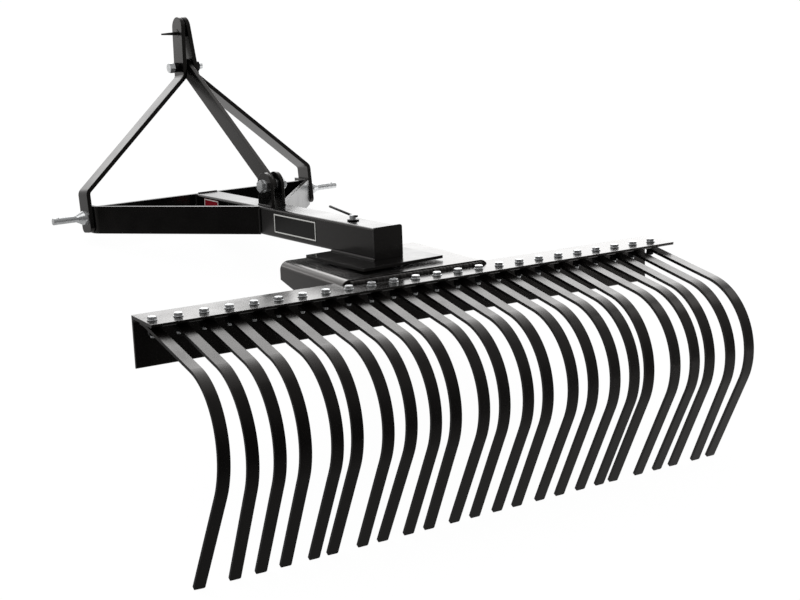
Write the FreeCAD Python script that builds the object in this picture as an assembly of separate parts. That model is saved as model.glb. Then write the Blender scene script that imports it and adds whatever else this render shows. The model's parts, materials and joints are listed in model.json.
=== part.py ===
import FreeCAD, Part
import math
import os

from FreeCAD import Placement, Rotation, Vector

# A three-point-hitch landscape rake: a square boom with a bent strap yoke, a mast of two flat bars
# and a brace, and under the boom's rear end a rake head that swivels on a kingpin.
# It is modelled level, in the hitch's own frame: X to the right, Y forward to the tractor, Z up.
# The origin is on top of the tine bar, at its front edge, in the boom's centre plane.
# At the end every piece is laid down in one move, as the rake rests on a floor: on the tips of
# its two outermost tines and the lower right corner of its yoke.

# ---- rake head, sizes in millimetres ----
ANGLE_LEG = 101.6            # both legs of the equal angle that carries the tines
ANGLE_WALL = 6.35
ANGLE_TOE_RADIUS = 3.0
ANGLE_ROOT_RADIUS = 8.0
ANGLE_SHIFT = 10.0           # the bar stands this far to the right of the tine row's centre
TINE_COUNT = 24
TINE_PITCH = 50.8            # the bar is one pitch long for each tine
TINE_WIDTH = 22.0
TINE_THICKNESS = 6.35
TINE_BOLT_SETBACK = 66.0     # bolt row behind the bar's front edge
TINE_SEAT_FRONT = 36.0       # tine ahead of its bolt
TINE_FALL_AHEAD = 17.0       # corner ahead of the bolt where the tine turns down off the flange
TINE_SLOPE = 10.5            # fall of the upper run, degrees
TINE_TIP_LEAN = 27.5         # forward lean of the lower run from the vertical, degrees
TINE_SEAT_BEND = 120.0
TINE_BOW_RADIUS = 137.0
TINE_REACH = 380.0           # rearmost point of a tine behind the bar's front edge
TINE_DROP = 441.0            # tine tip below the top of the bar
TINE_TIP_RADIUS = 3.0
# Each tine stands a little turned on its bolt, in degrees, from left to right.
TINE_TURNS = (0, -1.5, -1.5, -2, 0, -1.5, 0, 0, -0.5, -2, 0, -1,
              -0.5, -1.5, 0, -0.5, 0, -0.5, -2.5, 0, 0, -2, -2, -1)
# A few also hang out of line sideways, in degrees, by their number from the left.
TINE_SWAYS = {1: 3.0, 6: 1.0, 8: 1.0, 19: 1.0, 23: -1.5}

# ---- turntable ----
HEAD_TURN = -5.0             # the head stands swivelled by this much at rest, degrees
CHANNEL_WALL = 9.5
CHANNEL_HALF_WIDTH = 175.0
CHANNEL_BEND = 19.0          # outer radius of the folded channel's bends
CHANNEL_FRONT = 245.0
CHANNEL_LAP = 28.0           # how far the channel's web laps over the tine bar
CHANNEL_DEPTH_FRONT = 30.0   # side walls below the top of the tine bar
CHANNEL_DEPTH_REAR = 84.0
TURNTABLE_GAP = 0.3          # running gap between web and thrust collar, and web and washer
THRUST_COLLAR = 3.2          # the kingpin's collar holds the plate this far above the web
THRUST_COLLAR_RADIUS = 45.0
PLATE_WALL = 6.35
PLATE_HALF_WIDTH = 100.0
PLATE_REAR = 17.0
PLATE_FRONT = 237.0
KINGPIN_RADIUS = 15.0
KINGPIN_FIT = 0.06           # radial running clearance in the web
KINGPIN_WASHER_RADIUS = 28.0
KINGPIN_WASHER = 4.0
KINGPIN_NUT_FLATS = 46.0
KINGPIN_NUT = 22.0
KINGPIN_STUB = 6.0           # thread that stands out below the nut
LOCK_PIN_RADIUS = 8.0
LOCK_HOLE_SLACK = 0.5
LOCK_REACH = 72.0            # lock pin ahead of the kingpin
LOCK_STEP = 22.5             # pitch of the index holes, degrees
LOCK_STEPS = 2               # index holes on each side of the middle one
LOCK_COLLAR_RADIUS = 13.0
LOCK_COLLAR = 3.0
LOCK_HEAD_RISE = 10.0        # pin above its collar
LOCK_HANDLE_RADIUS = 2.75
LOCK_HANDLE_REACH = 92.0
LOCK_HANDLE_RISE = 11.75

# ---- boom and yoke ----
BOOM_SIDE = 66.0
BOOM_WALL = 5.0
BOOM_REAR = 70.0
BOOM_FRONT = 856.0
BOOM_CORNER = 6.0
END_PLATE = 5.0
END_PLATE_LIP = 3.0          # end plate stands out round the boom's sides and top
STRAP_WALL = 10.0
STRAP_ROOT = 541.0           # where a side strap's outer face meets the boom's side
STRAP_HALF_SPREAD = 308.0    # outer face of a side strap's straight end
STRAP_CORNER = 864.0         # where a side strap turns straight
STRAP_END = 922.0
STRAP_BEND = 30.0

# ---- mast ----
BAR_WIDTH = 50.0
BAR_WALL = 10.0
MAST_LEAN = 6.5              # forward lean, degrees
MAST_OFFSET = 4.0            # the bars' centre line ahead of the lower pins
BAR_BELOW_PIN = 37.0
LOWER_BEND_RISE = 60.0       # above the lower pins, measured along the bar
UPPER_BEND_HALF = 22.0       # half width over the bars at the upper bend
MAST_TOP_RISE = 467.0
MAST_TOP_HALF = 11.0         # half width over the bars at the top
MAST_TOP_ROUND = 24.5        # radius of the bars' round tops
MAST_FOOT_ROUND = 12.5
UPPER_BEND_DROP = 149.0      # below the bars' tops, as the next two are
MAST_BOLT_DROP = 124.0
TOP_LINK_DROP = 40.0
BAR_BEND = 14.0
TOP_LINK_RADIUS = 9.5
TOP_LINK_STUB = 1.0          # pin that stands out of the left bar, and of the right one
TOP_HANDLE_REACH = 42.0
TOP_HANDLE_RADIUS = 4.5
TOP_HANDLE_TIP = 2.0
BRACE_WIDTH = 40.0
BRACE_WALL = 10.0
LUG_WALL = 8.0
LUG_GAP = 20.0
LUG_WIDTH = 62.0
LUG_PIN_Y = 540.0
LUG_PIN_RISE = 46.5          # above the boom
BOLT_RADIUS = 8.0
BOLT_FLATS = 25.0
BOLT_HEAD = 10.0
BOLT_NUT = 13.0
BOLT_STUB = 5.0
WASHER_RADIUS = 15.0
WASHER = 3.0
MAST_SLEEVE_RADIUS = 12.0
MAST_SLEEVE = 14.0
MAST_BOLT_FLATS = 24.0
MAST_BOLT_STUB = 10.0
SEAT_GAP = 0.1               # between the mast bolt's shoulders and the bars' leaning faces
PIN_SLACK = 0.2              # radial slack of bolts and pins in their holes

# ---- lower hitch pins ----
LOWER_PIN_RADIUS = 8.0
LOWER_PIN_END = 402.0
LOWER_PIN_Y = 886.0
LOWER_PIN_Z = 57.0
LOWER_SHANK_RADIUS = 8.0
LOWER_COLLAR_RADIUS = 17.0
LOWER_COLLAR = 8.0
LOWER_CONE = 18.0
LOWER_NUT_FLATS = 24.0
LOWER_NUT = 13.0
LINCH_HOLE_RADIUS = 3.5
LINCH_HOLE_INSET = 13.0      # from the pin's end

REST_FINENESS = 0.02         # how finely curved faces are followed when the rake is laid down
REST_TRIES = 4               # each try starts from the rest that the last one found

# ---- sizes that follow ----
ANGLE_LENGTH = TINE_COUNT * TINE_PITCH
COLLAR_BOTTOM = CHANNEL_WALL + TURNTABLE_GAP
PLATE_BOTTOM = COLLAR_BOTTOM + THRUST_COLLAR
BOOM_BOTTOM = PLATE_BOTTOM + PLATE_WALL
BOOM_TOP = BOOM_BOTTOM + BOOM_SIDE
KINGPIN_Y = (PLATE_REAR + PLATE_FRONT) / 2
KINGPIN = Vector(0, KINGPIN_Y, 0)
LOCK_Y = KINGPIN_Y + LOCK_REACH
LUG_PIN_Z = BOOM_TOP + LUG_PIN_RISE
UPPER_BEND_RISE = MAST_TOP_RISE - UPPER_BEND_DROP
MAST_BOLT_RISE = MAST_TOP_RISE - MAST_BOLT_DROP
TOP_LINK_RISE = MAST_TOP_RISE - TOP_LINK_DROP
MAST_HALF = STRAP_HALF_SPREAD + BAR_WALL     # outer faces of the mast bars at the lower pins
MAST_FOOT = Vector(0, LOWER_PIN_Y + MAST_OFFSET, LOWER_PIN_Z)
MAST_UP = Vector(0, math.sin(math.radians(MAST_LEAN)), math.cos(math.radians(MAST_LEAN)))
MAST_ACROSS = Vector(0, math.cos(math.radians(MAST_LEAN)), -math.sin(math.radians(MAST_LEAN)))
X_AXIS = Vector(1, 0, 0)
Y_AXIS = Vector(0, 1, 0)
Z_AXIS = Vector(0, 0, 1)
HEAD_PLACE = Placement(Vector(), Rotation(Z_AXIS, HEAD_TURN))


# ---- small tools ----
def block(low, high):
    """Box between two opposite corners."""
    low, high = Vector(*low), Vector(*high)
    size = high - low
    return Part.makeBox(size.x, size.y, size.z, low)


def rod(start, end, radius):
    """Solid cylinder from one point to another."""
    axis = end - start
    return Part.makeCylinder(radius, axis.Length, start, axis)


def hexagon(centre, axis, flats, height, twist=0):
    """Hexagonal prism that stands on centre along axis, twisted on it by some degrees."""
    corner = Vector(flats / math.sqrt(3), 0, 0)
    turn = Rotation(Z_AXIS, axis)
    ring = [centre + turn.multVec(Rotation(Z_AXIS, twist + 60 * step).multVec(corner))
            for step in range(7)]
    return Part.Face(Part.makePolygon(ring)).extrude(axis * (height / axis.Length))


def fuse(pieces):
    """One solid from pieces that touch or overlap."""
    whole = pieces[0]
    for piece in pieces[1:]:
        whole = whole.fuse(piece)
    return max(whole.removeSplitter().Solids, key=lambda solid: solid.Volume)


def cut(body, tools):
    """The largest solid that is left of a body when tools are cut out of it."""
    for tool in tools:
        body = body.cut(tool)
    return max(body.Solids, key=lambda solid: solid.Volume)


def moved(piece, place):
    """A copy of a piece at a placement."""
    return piece.transformed(place.toMatrix(), True)


def bent_bar(points, radii, wall, to_space, width):
    """Flat bar bent along a path of straight runs.

    points and radii are the centre line's corners and its bend radii in a plane, to_space puts a
    plane point into space, and width is the vector that the bar's section is swept along.
    """
    runs = [(points[i + 1] - points[i]).normalize() for i in range(len(points) - 1)]
    sides = [Vector(-run.y, run.x, 0) for run in runs]
    edges = []
    ends = []
    for side in (wall / 2, -wall / 2):
        start = points[0] + sides[0] * side
        chain = [start]
        side_edges = []
        for i, radius in enumerate(radii):
            turn = runs[i].getAngle(runs[i + 1])
            left = runs[i].x * runs[i + 1].y - runs[i].y * runs[i + 1].x
            inward = sides[i] * math.copysign(1, left)
            tangent = radius * math.tan(turn / 2)
            first = points[i + 1] - runs[i] * tangent
            last = points[i + 1] + runs[i + 1] * tangent
            centre = first + inward * radius
            halfway = (runs[i + 1] - runs[i]).normalize()
            reach = radius - side * math.copysign(1, left)
            middle = centre - halfway * reach
            first = first + sides[i] * side
            last = last + sides[i + 1] * side
            side_edges.append(Part.makeLine(to_space(chain[-1]), to_space(first)))
            side_edges.append(Part.Arc(to_space(first), to_space(middle), to_space(last)).toShape())
            chain.append(last)
        finish = points[-1] + sides[-1] * side
        side_edges.append(Part.makeLine(to_space(chain[-1]), to_space(finish)))
        edges.extend(side_edges)
        ends.append((start, finish))
    for near, far in zip(ends[0], ends[1]):
        edges.append(Part.makeLine(to_space(near), to_space(far)))
    outline = Part.Wire(Part.__sortEdges__(edges))
    return Part.Face(outline).extrude(width)


def rounded(solid, wall, centre, reach, radius):
    """Round the short edges across the wall that lie within reach of centre."""
    chosen = [edge for edge in solid.Edges
              if abs(edge.Length - wall) < 0.01 and (edge.CenterOfMass - centre).Length < reach]
    return solid.makeFillet(radius, chosen).Solids[0]


# ---- rake head, in its own frame: the same as the hitch's when the head stands straight ----
def tine_bar():
    wall, leg = ANGLE_WALL, ANGLE_LEG
    left = ANGLE_SHIFT - ANGLE_LENGTH / 2
    section = [(0, 0), (-leg, 0), (-leg, -wall), (-wall, -wall), (-wall, -leg), (0, -leg), (0, 0)]
    outline = Part.makePolygon([Vector(left, y, z) for y, z in section])
    bar = Part.Face(outline).extrude(X_AXIS * ANGLE_LENGTH)
    root = [edge for edge in bar.Edges if edge.Length > ANGLE_LENGTH - 1
            and abs(edge.CenterOfMass.y + wall) < 0.01 and abs(edge.CenterOfMass.z + wall) < 0.01]
    bar = bar.makeFillet(ANGLE_ROOT_RADIUS, root)
    toes = [edge for edge in bar.Edges if edge.Length > ANGLE_LENGTH - 1
            and ((abs(edge.CenterOfMass.y + leg) < 0.01 and edge.CenterOfMass.z < -wall / 2)
                 or (abs(edge.CenterOfMass.z + leg) < 0.01 and edge.CenterOfMass.y < -wall / 2))]
    return bar.makeFillet(ANGLE_TOE_RADIUS, toes).Solids[0]


def tine_path():
    """Corners of a tine's centre line behind and below the bar's front top edge."""
    slope, lean = math.radians(TINE_SLOPE), math.radians(TINE_TIP_LEAN)
    seat_z = -ANGLE_WALL - TINE_THICKNESS / 2
    first = Vector(-TINE_BOLT_SETBACK + TINE_SEAT_FRONT, seat_z, 0)
    bend = Vector(-TINE_BOLT_SETBACK + TINE_FALL_AHEAD, seat_z, 0)
    bow_y = TINE_THICKNESS / 2 - TINE_REACH + TINE_BOW_RADIUS
    touch_y = bow_y - TINE_BOW_RADIUS * math.sin(slope)
    touch_z = seat_z - (bend.x - touch_y) * math.tan(slope)
    bow_z = touch_z - TINE_BOW_RADIUS * math.cos(slope)
    low_y = bow_y - TINE_BOW_RADIUS * math.cos(lean)
    low_z = bow_z - TINE_BOW_RADIUS * math.sin(lean)
    tip = Vector(low_y + (low_z + TINE_DROP) * math.tan(lean), -TINE_DROP, 0)
    # the upper run and the lower run meet in the bow's corner
    fall, back = math.tan(slope), math.tan(lean)
    corner_y = (tip.x - back * (touch_z - fall * touch_y - tip.y)) / (1 + back * fall)
    corner = Vector(corner_y, touch_z + fall * (corner_y - touch_y), 0)
    return [first, bend, corner, tip]


def tine_blank():
    """One tine, centred on its bolt in X, with its bolt row at the bar's."""
    left = -TINE_WIDTH / 2
    path = tine_path()
    blank = bent_bar(path, [TINE_SEAT_BEND, TINE_BOW_RADIUS], TINE_THICKNESS,
                     lambda p: Vector(left, p.x, p.y), X_AXIS * TINE_WIDTH)
    tip = Vector(0, path[-1].x, path[-1].y)
    return rounded(blank, TINE_THICKNESS, tip, TINE_WIDTH, TINE_TIP_RADIUS)


def tine(index, blank):
    place_x = (index - (TINE_COUNT - 1) / 2) * TINE_PITCH
    bolt = Vector(0, -TINE_BOLT_SETBACK, 0)
    sway = TINE_SWAYS.get(index + 1, 0.0)
    # a tine that leans sideways hangs lower, so that its raised edge meets the flange
    lift = TINE_WIDTH / 2 * math.sin(math.radians(abs(sway)))
    piece = blank.copy()
    piece.rotate(Z_AXIS * -ANGLE_WALL, Y_AXIS, sway)
    piece.rotate(bolt, Z_AXIS, TINE_TURNS[index % len(TINE_TURNS)])
    piece.translate(Vector(place_x, 0, -lift))
    return piece


def swivel_channel():
    half, wall, bend = CHANNEL_HALF_WIDTH, CHANNEL_WALL, CHANNEL_BEND
    deepest = -max(CHANNEL_DEPTH_REAR, CHANNEL_DEPTH_FRONT)
    path = [Vector(wall / 2 - half, deepest, 0), Vector(wall / 2 - half, wall / 2, 0),
            Vector(half - wall / 2, wall / 2, 0), Vector(half - wall / 2, deepest, 0)]
    channel = bent_bar(path, [bend - wall / 2] * 2, wall,
                       lambda p: Vector(p.x, -CHANNEL_LAP, p.y), Y_AXIS * (CHANNEL_FRONT + CHANNEL_LAP))
    lap = block((-half - 1, -CHANNEL_LAP - 1, deepest - 1), (half + 1, 0, 0))
    slant = Part.Face(Part.makePolygon([
        Vector(-half - 1, 0, -CHANNEL_DEPTH_REAR),
        Vector(-half - 1, CHANNEL_FRONT, -CHANNEL_DEPTH_FRONT),
        Vector(-half - 1, CHANNEL_FRONT, deepest - 1),
        Vector(-half - 1, 0, deepest - 1),
        Vector(-half - 1, 0, -CHANNEL_DEPTH_REAR)])).extrude(X_AXIS * (2 * half + 2))
    kingpin = HEAD_PLACE.inverse().multVec(KINGPIN)
    tools = [lap, slant, rod(kingpin - Z_AXIS * wall, kingpin + Z_AXIS * 2 * wall,
                             KINGPIN_RADIUS + KINGPIN_FIT)]
    for step in range(-LOCK_STEPS, LOCK_STEPS + 1):
        turn = Rotation(Z_AXIS, step * LOCK_STEP - HEAD_TURN)
        hole = kingpin + turn.multVec(Y_AXIS * LOCK_REACH)
        tools.append(rod(hole - Z_AXIS * wall, hole + Z_AXIS * 2 * wall,
                         LOCK_PIN_RADIUS + LOCK_HOLE_SLACK))
    return cut(channel, tools)


# ---- turntable and boom ----
def turntable_plate():
    plate = block((-PLATE_HALF_WIDTH, PLATE_REAR, PLATE_BOTTOM),
                  (PLATE_HALF_WIDTH, PLATE_FRONT, BOOM_BOTTOM))
    lock = Vector(0, LOCK_Y, 0)
    return cut(plate, [rod(KINGPIN, KINGPIN + Z_AXIS * BOOM_TOP, KINGPIN_RADIUS),
                       rod(lock, lock + Z_AXIS * BOOM_TOP, LOCK_PIN_RADIUS + LOCK_HOLE_SLACK)])


def kingpin():
    washer_top = KINGPIN - Z_AXIS * TURNTABLE_GAP
    nut_top = washer_top - Z_AXIS * KINGPIN_WASHER
    stub = nut_top - Z_AXIS * (KINGPIN_NUT + KINGPIN_STUB)
    collar_bottom = KINGPIN + Z_AXIS * COLLAR_BOTTOM
    return fuse([rod(stub, KINGPIN + Z_AXIS * BOOM_BOTTOM, KINGPIN_RADIUS),
                 rod(collar_bottom, KINGPIN + Z_AXIS * PLATE_BOTTOM, THRUST_COLLAR_RADIUS),
                 rod(nut_top, washer_top, KINGPIN_WASHER_RADIUS),
                 hexagon(nut_top, -Z_AXIS, KINGPIN_NUT_FLATS, KINGPIN_NUT)])


def boom_tube():
    half = BOOM_SIDE / 2
    outer = block((-half, BOOM_REAR + END_PLATE, BOOM_BOTTOM), (half, BOOM_FRONT, BOOM_TOP))
    inner = block((BOOM_WALL - half, BOOM_REAR, BOOM_BOTTOM + BOOM_WALL),
                  (half - BOOM_WALL, BOOM_FRONT + 1, BOOM_TOP - BOOM_WALL))
    long_edges = [edge for edge in outer.Edges if edge.Length > BOOM_SIDE + 1]
    outer = outer.makeFillet(BOOM_CORNER, long_edges)
    lock = Vector(0, LOCK_Y, 0)
    return cut(outer, [inner, rod(lock, lock + Z_AXIS * (BOOM_TOP + 1), LOCK_PIN_RADIUS + LOCK_HOLE_SLACK)])


def boom_end_plate():
    half = BOOM_SIDE / 2 + END_PLATE_LIP
    plate = block((-half, BOOM_REAR, BOOM_BOTTOM), (half, BOOM_REAR + END_PLATE, BOOM_TOP + END_PLATE_LIP))
    corners = [edge for edge in plate.Edges if abs(edge.Length - END_PLATE) < 0.01]
    return plate.makeFillet(BOOM_CORNER, corners).Solids[0]


def lock_pin():
    foot = Vector(0, LOCK_Y, PLATE_BOTTOM)
    seat = Vector(0, LOCK_Y, BOOM_TOP)
    head = seat + Z_AXIS * (LOCK_COLLAR + LOCK_HEAD_RISE)
    grip = head - Z_AXIS * LOCK_HANDLE_RADIUS
    tip = grip + Y_AXIS * LOCK_HANDLE_REACH + Z_AXIS * LOCK_HANDLE_RISE
    return fuse([rod(foot, head, LOCK_PIN_RADIUS),
                 rod(seat, seat + Z_AXIS * LOCK_COLLAR, LOCK_COLLAR_RADIUS),
                 rod(grip, tip, LOCK_HANDLE_RADIUS)])


# ---- yoke ----
def side_strap(side):
    """Bent strap from the boom's side to the hitch pin; side is -1 on the left and 1 on the right."""
    half = BOOM_SIDE / 2
    slant = Vector(STRAP_HALF_SPREAD - half, STRAP_CORNER - STRAP_ROOT, 0).normalize()
    normal = Vector(-slant.y, slant.x, 0)
    root = Vector(half, STRAP_ROOT, 0) - slant * STRAP_WALL * 2 + normal * (STRAP_WALL / 2)
    centre_x = STRAP_HALF_SPREAD - STRAP_WALL / 2
    corner = root + slant * ((centre_x - root.x) / slant.x)
    path = [Vector(side * p.x, p.y, 0) for p in (root, corner, Vector(centre_x, STRAP_END, 0))]
    strap = bent_bar(path, [STRAP_BEND], STRAP_WALL, lambda p: Vector(p.x, p.y, BOOM_BOTTOM),
                     Z_AXIS * BOOM_SIDE)
    inside = block((-half, 0, 0), (half, BOOM_FRONT, BOOM_TOP + 1))
    axis = Vector(0, LOWER_PIN_Y, LOWER_PIN_Z)
    hole = rod(axis, axis + X_AXIS * side * LOWER_PIN_END, LOWER_SHANK_RADIUS + PIN_SLACK)
    return cut(strap, [inside, hole])


def cross_strap(straps):
    reach = STRAP_HALF_SPREAD - STRAP_WALL / 2
    strap = block((-reach, BOOM_FRONT, BOOM_BOTTOM), (reach, BOOM_FRONT + STRAP_WALL, BOOM_TOP))
    return cut(strap, straps)


# ---- mast, in its leaning plane: x across, y along the bars from the lower pins ----
def mast_point(x, rise):
    return MAST_FOOT + X_AXIS * x + MAST_UP * rise


def mast_bar(side):
    centre = MAST_HALF - BAR_WALL / 2
    path = [Vector(side * x, rise, 0) for x, rise in (
        (centre, -BAR_BELOW_PIN), (centre, LOWER_BEND_RISE),
        (UPPER_BEND_HALF - BAR_WALL / 2, UPPER_BEND_RISE), (MAST_TOP_HALF - BAR_WALL / 2, MAST_TOP_RISE))]
    back = MAST_ACROSS * (-BAR_WIDTH / 2)
    bar = bent_bar(path, [BAR_BEND] * 2, BAR_WALL, lambda p: mast_point(p.x, p.y) + back,
                   MAST_ACROSS * BAR_WIDTH)
    top = mast_point(path[3].x, path[3].y)
    foot = mast_point(path[0].x, path[0].y)
    bar = rounded(bar, BAR_WALL, top, BAR_WIDTH, MAST_TOP_ROUND)
    bar = rounded(bar, BAR_WALL, foot, BAR_WIDTH, MAST_FOOT_ROUND)
    axis = Vector(0, LOWER_PIN_Y, LOWER_PIN_Z)
    tools = [rod(axis, axis + X_AXIS * side * LOWER_PIN_END, LOWER_SHANK_RADIUS + PIN_SLACK)]
    for rise, radius in ((MAST_BOLT_RISE, BOLT_RADIUS), (TOP_LINK_RISE, TOP_LINK_RADIUS)):
        hole = mast_point(0, rise)
        tools.append(rod(hole, hole + X_AXIS * side * MAST_HALF / 2, radius + PIN_SLACK))
    return cut(bar, tools)


def half_over_bars(rise):
    """Half width over the mast bars above their upper bend."""
    share = (rise - UPPER_BEND_RISE) / (MAST_TOP_RISE - UPPER_BEND_RISE)
    return UPPER_BEND_HALF + (MAST_TOP_HALF - UPPER_BEND_HALF) * share


def mast_brace():
    low = Vector(0, LUG_PIN_Y, LUG_PIN_Z)
    high = mast_point(0, MAST_BOLT_RISE)
    along = (high - low).normalize()
    across = along.cross(X_AXIS)
    corner = low - X_AXIS * (BRACE_WALL / 2) - across * (BRACE_WIDTH / 2)
    span = along * (high - low).Length
    width = across * BRACE_WIDTH
    ring = [corner, corner + span, corner + span + width, corner + width, corner]
    flat = Part.Face(Part.makePolygon(ring)).extrude(X_AXIS * BRACE_WALL)
    side = X_AXIS * (BRACE_WALL / 2)
    eyes = [rod(end - side, end + side, BRACE_WIDTH / 2) for end in (low, high)]
    holes = [rod(end - side * 2, end + side * 2, BOLT_RADIUS + PIN_SLACK) for end in (low, high)]
    return cut(fuse([flat] + eyes), holes)


def brace_lug(side):
    inner, outer = side * LUG_GAP / 2, side * (LUG_GAP / 2 + LUG_WALL)
    left, right = min(inner, outer), max(inner, outer)
    base = block((left, LUG_PIN_Y - LUG_WIDTH / 2, BOOM_TOP), (right, LUG_PIN_Y + LUG_WIDTH / 2, LUG_PIN_Z))
    eye = Vector(0, LUG_PIN_Y, LUG_PIN_Z)
    head = rod(eye + X_AXIS * left, eye + X_AXIS * right, LUG_WIDTH / 2)
    hole = rod(eye - X_AXIS * LUG_GAP * 2, eye + X_AXIS * LUG_GAP * 2, BOLT_RADIUS + PIN_SLACK)
    return cut(fuse([base, head]), [hole])


def brace_bolt():
    eye = Vector(0, LUG_PIN_Y, LUG_PIN_Z)
    outer = LUG_GAP / 2 + LUG_WALL
    head = eye - X_AXIS * (outer + WASHER)
    nut = eye + X_AXIS * (outer + WASHER)
    pieces = [rod(head, nut + X_AXIS * (BOLT_NUT + BOLT_STUB), BOLT_RADIUS),
              hexagon(head, -X_AXIS, BOLT_FLATS, BOLT_HEAD),
              hexagon(nut, X_AXIS, BOLT_FLATS, BOLT_NUT)]
    for side in (-X_AXIS, X_AXIS):
        pieces.append(rod(eye + side * outer, eye + side * (outer + WASHER), WASHER_RADIUS))
        pieces.append(rod(eye + side * (BRACE_WALL / 2), eye + side * (LUG_GAP / 2), WASHER_RADIUS))
    return fuse(pieces)


def mast_bolt():
    eye = mast_point(0, MAST_BOLT_RISE)
    # the bars lean together, so outside they are widest below the bolt and inside narrowest above it
    outer = half_over_bars(MAST_BOLT_RISE - MAST_BOLT_FLATS / 2) + SEAT_GAP
    inner = half_over_bars(MAST_BOLT_RISE + MAST_SLEEVE_RADIUS) - BAR_WALL - SEAT_GAP
    sleeve = eye - X_AXIS * (outer + MAST_SLEEVE)
    nut = eye + X_AXIS * outer
    flat_up = 30 - MAST_LEAN
    pieces = [rod(sleeve, nut + X_AXIS * (BOLT_NUT + MAST_BOLT_STUB), BOLT_RADIUS),
              rod(sleeve, eye - X_AXIS * outer, MAST_SLEEVE_RADIUS),
              hexagon(sleeve, -X_AXIS, MAST_BOLT_FLATS, BOLT_NUT, flat_up),
              hexagon(nut, X_AXIS, MAST_BOLT_FLATS, BOLT_NUT, flat_up)]
    for side in (-X_AXIS, X_AXIS):
        pieces.append(rod(eye + side * (BRACE_WALL / 2), eye + side * inner, MAST_SLEEVE_RADIUS))
    return fuse(pieces)


def top_link_pin():
    eye = mast_point(0, TOP_LINK_RISE)
    reach = X_AXIS * (half_over_bars(TOP_LINK_RISE) + TOP_LINK_STUB)
    handle = Part.makeCone(TOP_HANDLE_RADIUS, TOP_HANDLE_TIP, TOP_HANDLE_REACH, eye - reach, -X_AXIS)
    return fuse([rod(eye - reach, eye + reach, TOP_LINK_RADIUS), handle])


def lower_pin(side):
    way = X_AXIS * side
    axis = Vector(0, LOWER_PIN_Y, LOWER_PIN_Z)
    seat = axis + way * MAST_HALF
    inner = axis + way * (STRAP_HALF_SPREAD - STRAP_WALL)
    collar = seat + way * LOWER_COLLAR
    cone = Part.makeCone(LOWER_COLLAR_RADIUS, LOWER_PIN_RADIUS, LOWER_CONE, collar, way)
    pin = fuse([rod(collar, axis + way * LOWER_PIN_END, LOWER_PIN_RADIUS), cone,
                rod(seat, collar, LOWER_COLLAR_RADIUS),
                rod(inner - way * (LOWER_NUT + BOLT_STUB), seat, LOWER_SHANK_RADIUS),
                hexagon(inner, -way, LOWER_NUT_FLATS, LOWER_NUT)])
    linch = axis + way * (LOWER_PIN_END - LINCH_HOLE_INSET)
    return cut(pin, [rod(linch - Z_AXIS * LOWER_COLLAR_RADIUS, linch + Z_AXIS * LOWER_COLLAR_RADIUS,
                         LINCH_HOLE_RADIUS)])


# ---- the whole rake ----
def hitch_pieces():
    left, right = side_strap(-1), side_strap(1)
    return {
        "boom_tube": boom_tube(), "boom_end_plate": boom_end_plate(),
        "turntable_plate": turntable_plate(), "kingpin": kingpin(), "lock_pin": lock_pin(),
        "side_strap_left": left, "side_strap_right": right, "cross_strap": cross_strap([left, right]),
        "mast_bar_left": mast_bar(-1), "mast_bar_right": mast_bar(1), "mast_brace": mast_brace(),
        "brace_lug_left": brace_lug(-1), "brace_lug_right": brace_lug(1), "brace_bolt": brace_bolt(),
        "mast_bolt": mast_bolt(), "top_link_pin": top_link_pin(),
        "lower_pin_left": lower_pin(-1), "lower_pin_right": lower_pin(1),
    }


def head_pieces():
    blank = tine_blank()
    pieces = {"swivel_channel": swivel_channel(), "tine_bar": tine_bar()}
    for index in range(TINE_COUNT):
        pieces["tine_%02d" % (index + 1)] = tine(index, blank)
    return {name: moved(piece, HEAD_PLACE) for name, piece in pieces.items()}


def lowest_point(shape, up):
    """The point of a shape's surface that lies lowest along up."""
    return min(shape.tessellate(REST_FINENESS)[0], key=lambda point: point.dot(up))


def rest_place(pieces):
    """Lay the rake down on its outermost tine tips and the yoke's or mast's lower right corner."""
    up = Vector(0, 0, 1)
    for _ in range(REST_TRIES):
        left = lowest_point(pieces["tine_01"], up)
        right = lowest_point(pieces["tine_%02d" % TINE_COUNT], up)
        front = min((lowest_point(pieces[name], up) for name in ("side_strap_right", "mast_bar_right")),
                    key=lambda point: point.dot(up))
        up = (right - left).cross(front - left).normalize()
    ahead = (Y_AXIS - up * Y_AXIS.dot(up)).normalize()
    turn = Rotation(ahead.cross(up), ahead, up, "ZYX").inverted()
    return Placement(Vector(), turn)


def laid_down(pieces):
    turn = rest_place(pieces)
    turned = [moved(piece, turn) for piece in pieces.values()]
    box = Part.makeCompound(turned).optimalBoundingBox(False, False)
    centre = Vector(-(box.XMin + box.XMax) / 2, -(box.YMin + box.YMax) / 2, -box.ZMin)
    place = Placement(centre, turn.Rotation)
    return place, {name: moved(piece, place) for name, piece in pieces.items()}


def build():
    pieces = dict(hitch_pieces())
    pieces.update(head_pieces())
    return laid_down(pieces)


PLACE, PIECES = build()
os.makedirs("parts", exist_ok=True)
for node, shape in PIECES.items():
    shape.exportStep("parts/%s.step" % node)
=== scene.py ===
# %% [markdown]
# # A landscape rake, dressed for a studio picture
# The rake hangs on a tractor's three-point hitch and combs soil and stones with curved spring
# tines. Its steel pieces come packed, at their real size and place, and they keep their shapes
# here. This notebook adds what a solid model leaves out: the bolts of the tines, the weld beads,
# the blank plate and sticker, the lock pin's dipped handle, and a finish for every surface.

# %% Load the rake
import json
import math

import bmesh
import bpy
from mathutils import Matrix, Vector


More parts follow.
